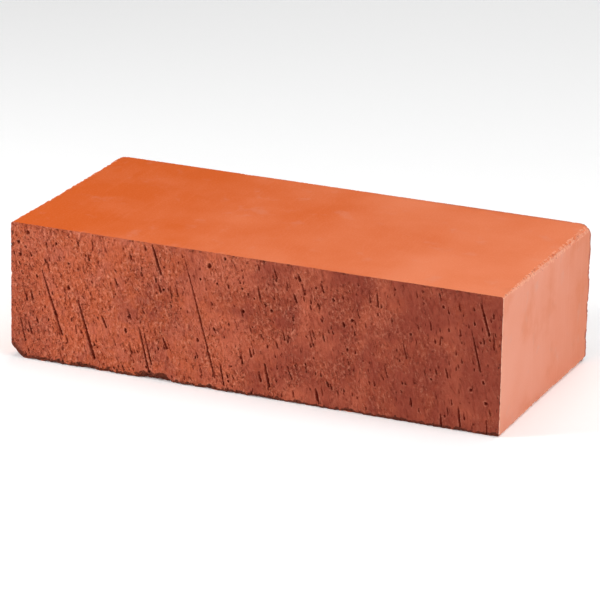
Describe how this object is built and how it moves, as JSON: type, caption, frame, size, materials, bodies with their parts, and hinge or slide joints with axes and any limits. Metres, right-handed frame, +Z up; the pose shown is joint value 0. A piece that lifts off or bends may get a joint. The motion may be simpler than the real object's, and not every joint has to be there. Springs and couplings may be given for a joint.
{
  "type": "clay brick",
  "caption": "Solid rectangular fired clay brick with smooth beds and ends and rough wire-cut long sides, for laying in mortar.",
  "frame": {"origin": "under the middle of the brick, on the surface that it lies on", "axes": "+X along the length, +Y across the width, away from the wire-cut side shown, +Z up from bed to bed"},
  "size_m": [0.25, 0.12, 0.068],
  "materials": {
    "fired_clay": "matt red-orange fired clay, smooth die skin on beds and ends, torn and grooved on the wire-cut long sides"
  },
  "bodies": {
    "root": {"brick": "fired_clay"}
  },
  "joints": []
}
